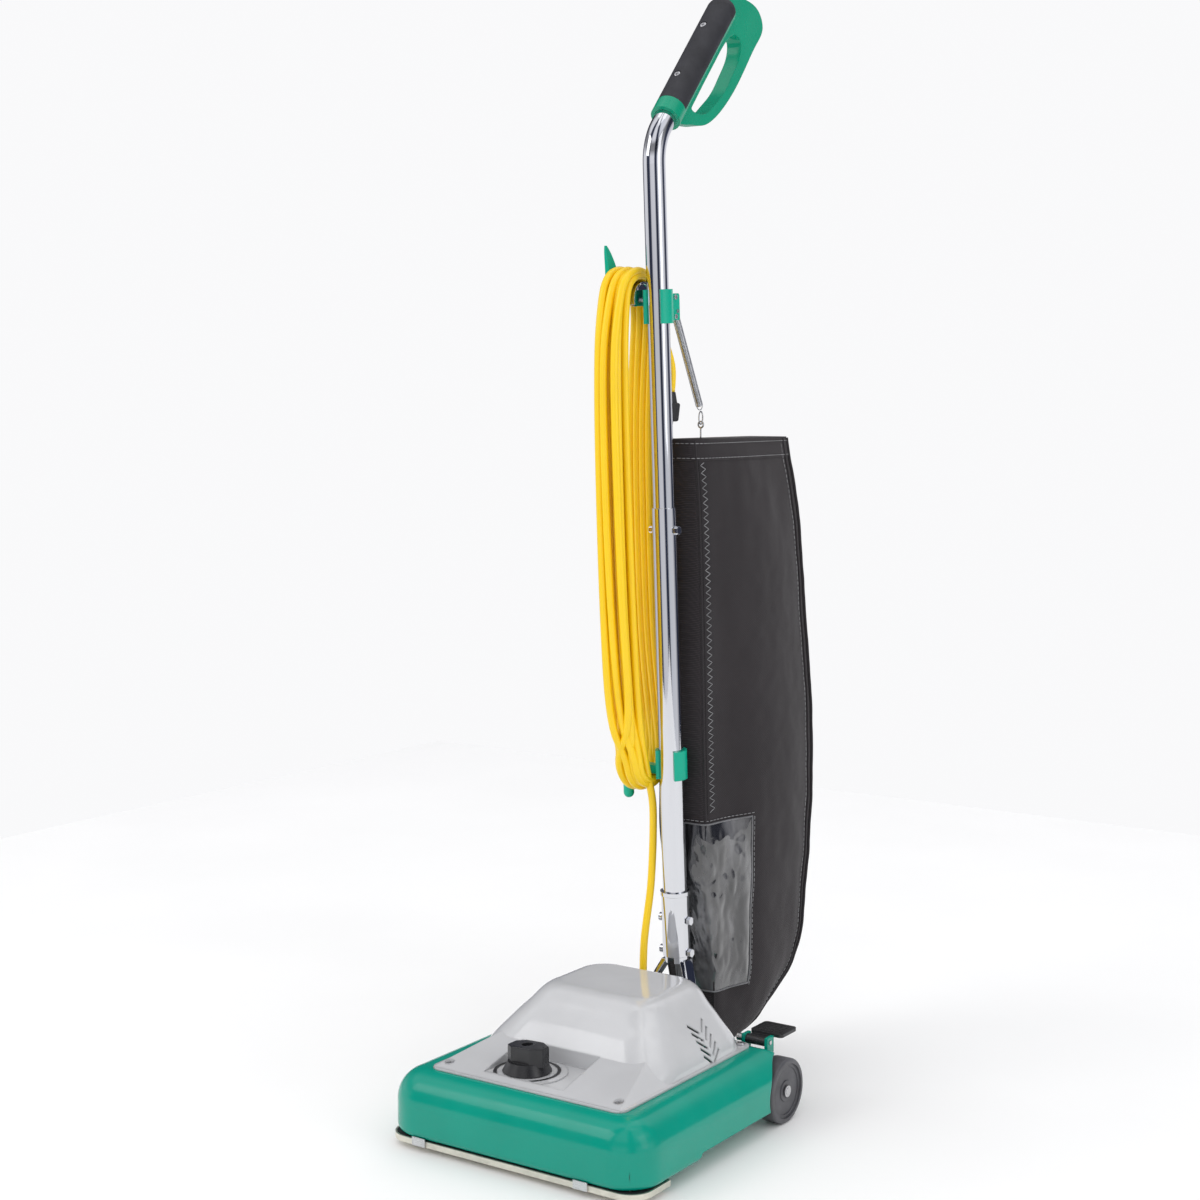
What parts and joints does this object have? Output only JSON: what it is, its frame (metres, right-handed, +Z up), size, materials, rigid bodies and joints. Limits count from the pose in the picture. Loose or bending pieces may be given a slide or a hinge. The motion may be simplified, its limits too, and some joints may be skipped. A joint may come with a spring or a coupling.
{
  "type": "upright vacuum cleaner",
  "caption": "Commercial upright vacuum cleaner with a reclining tube handle, cloth dust bag, wound mains cord and a height-adjustable brush base.",
  "frame": {"origin": "on the floor under the middle of the machine's footprint, cord left out", "axes": "+Z up, -Y the front of the machine, +X the side with the release pedal"},
  "size_m": [0.338, 0.5993, 1.2808],
  "materials": {
    "green_plastic": "glossy moulded plastic",
    "silver_plastic": "silver painted moulding, glossy",
    "black_plastic": "satin moulded plastic",
    "black_rubber": "matt rubber",
    "chrome_tube": "polished chrome plate",
    "steel": "plain steel",
    "zinc_sheet": "pale plated sheet, worn",
    "motor_metal": "painted steel",
    "copper_and_steel": "wound copper on steel laminations",
    "grey_plastic": "moulded plastic",
    "wood": "varnished beech",
    "bristle": "stiff nylon tufts",
    "yellow_cord": "smooth flexible PVC jacket",
    "bag_cloth": "woven polyester cloth",
    "green_hook": "glossy moulded plastic"
  },
  "bodies": {
    "base": {"base_housing": "green_plastic", "sole_plate": "zinc_sheet", "sole_clips": "steel", "nozzle_gasket": "black_rubber", "hood": "silver_plastic", "hood_screws": "steel", "dial_plate": "zinc_sheet", "motor_housing": "motor_metal", "motor_bearings": "steel", "motor_stator": "copper_and_steel", "fan_housing": "grey_plastic", "inlet_duct": "grey_plastic", "exhaust_duct": "grey_plastic", "drive_belt": "black_rubber", "rear_axles": "steel", "hinge_pins": "steel", "brush_bearings": "black_plastic", "strain_relief": "black_rubber", "lead_bracket": "steel", "pedal_spring": "steel", "switch_box": "black_plastic", "switch_spring": "steel", "bag_clamp": "steel"},
    "rotor": {"motor_shaft": "steel", "armature": "copper_and_steel", "fan_impeller": "grey_plastic"},
    "brush_roll": {"brush_core": "wood", "brush_bristles": "bristle"},
    "knob": {"height_knob": "black_plastic", "knob_shaft": "black_plastic", "knob_screw": "steel"},
    "height_carriage": {"carriage": "steel"},
    "front_rollers": {"front_axle": "steel", "front_wheels": "black_rubber"},
    "wheel_left": {"rear_wheel_left": "black_plastic"},
    "wheel_right": {"rear_wheel_right": "black_plastic"},
    "pedal": {"release_pedal": "black_plastic", "pedal_pin": "steel"},
    "power_switch": {"switch_button": "black_plastic"},
    "handle": {"bail": "chrome_tube", "sleeve": "chrome_tube", "handle_bolts": "chrome_tube", "lower_tube": "chrome_tube", "upper_tube": "chrome_tube", "grip_shell": "green_plastic", "grip_overlay": "black_rubber", "handle_screws": "steel", "upper_clip": "green_hook", "clip_pins": "steel", "lower_clip": "green_hook", "cord_hank": "yellow_cord", "cord_lead": "yellow_cord", "cord_tail": "yellow_cord", "plug": "black_rubber", "dust_bag": "bag_cloth", "bag_spring": "steel", "bag_hook": "steel"},
    "cord_hook": {"cord_saddle": "chrome_tube", "cord_horn": "green_hook"}
  },
  "joints": [
    {"name": "handle_recline", "type": "hinge", "parent": "base", "child": "handle", "pos_m": [0, 0.01341, 0.08], "axis": [-1, 0, 0], "range_deg": [0, 65], "deforming": ["dust_bag", "cord_lead", "bag_spring"]},
    {"name": "cord_hook_swivel", "type": "hinge", "parent": "handle", "child": "cord_hook", "pos_m": [0, -0.00697, 0.92527], "axis": [1, 0, 0], "range_deg": [0, 180]},
    {"name": "brush_spin", "type": "hinge", "parent": "base", "child": "brush_roll", "pos_m": [0, -0.2636, 0.031], "axis": [1, 0, 0], "continuous": true},
    {"name": "motor_spin", "type": "hinge", "parent": "base", "child": "rotor", "pos_m": [0.023, -0.1266, 0.072], "axis": [0, 1, 0], "continuous": true},
    {"name": "knob_turn", "type": "hinge", "parent": "base", "child": "knob", "pos_m": [-0.024, -0.22659, 0.088], "axis": [0, 0, 1], "range_deg": [0, 180]},
    {"name": "carriage_tilt", "type": "hinge", "parent": "base", "child": "height_carriage", "pos_m": [0, -0.1796, 0.0205], "axis": [-1, 0, 0], "range_deg": [0, 4.5]},
    {"name": "front_roller_spin", "type": "hinge", "parent": "height_carriage", "child": "front_rollers", "pos_m": [0, -0.2146, 0.01], "axis": [1, 0, 0], "continuous": true},
    {"name": "wheel_left_spin", "type": "hinge", "parent": "base", "child": "wheel_left", "pos_m": [0.157, 0.00741, 0.037], "axis": [1, 0, 0], "continuous": true},
    {"name": "wheel_right_spin", "type": "hinge", "parent": "base", "child": "wheel_right", "pos_m": [-0.157, 0.00741, 0.037], "axis": [1, 0, 0], "continuous": true},
    {"name": "pedal_press", "type": "hinge", "parent": "base", "child": "pedal", "pos_m": [0.12, 0.01541, 0.086], "axis": [-1, 0, 0], "range_deg": [0, 12], "stiffness_Nm_per_rad": 0.4, "springref_deg": -14.32, "deforming": ["pedal_spring"]},
    {"name": "switch_press", "type": "slide", "parent": "base", "child": "power_switch", "axis": [0, 0, -1], "range_m": [0, 0.004], "stiffness_N_per_m": 300, "springref_m": -0.003, "deforming": ["switch_spring"]}
  ],
  "couplings": [
    {"joint": "motor_spin", "follows": "brush_spin", "ratio": 2.075},
    {"joint": "carriage_tilt", "follows": "knob_turn", "ratio": 0.025}
  ]
}
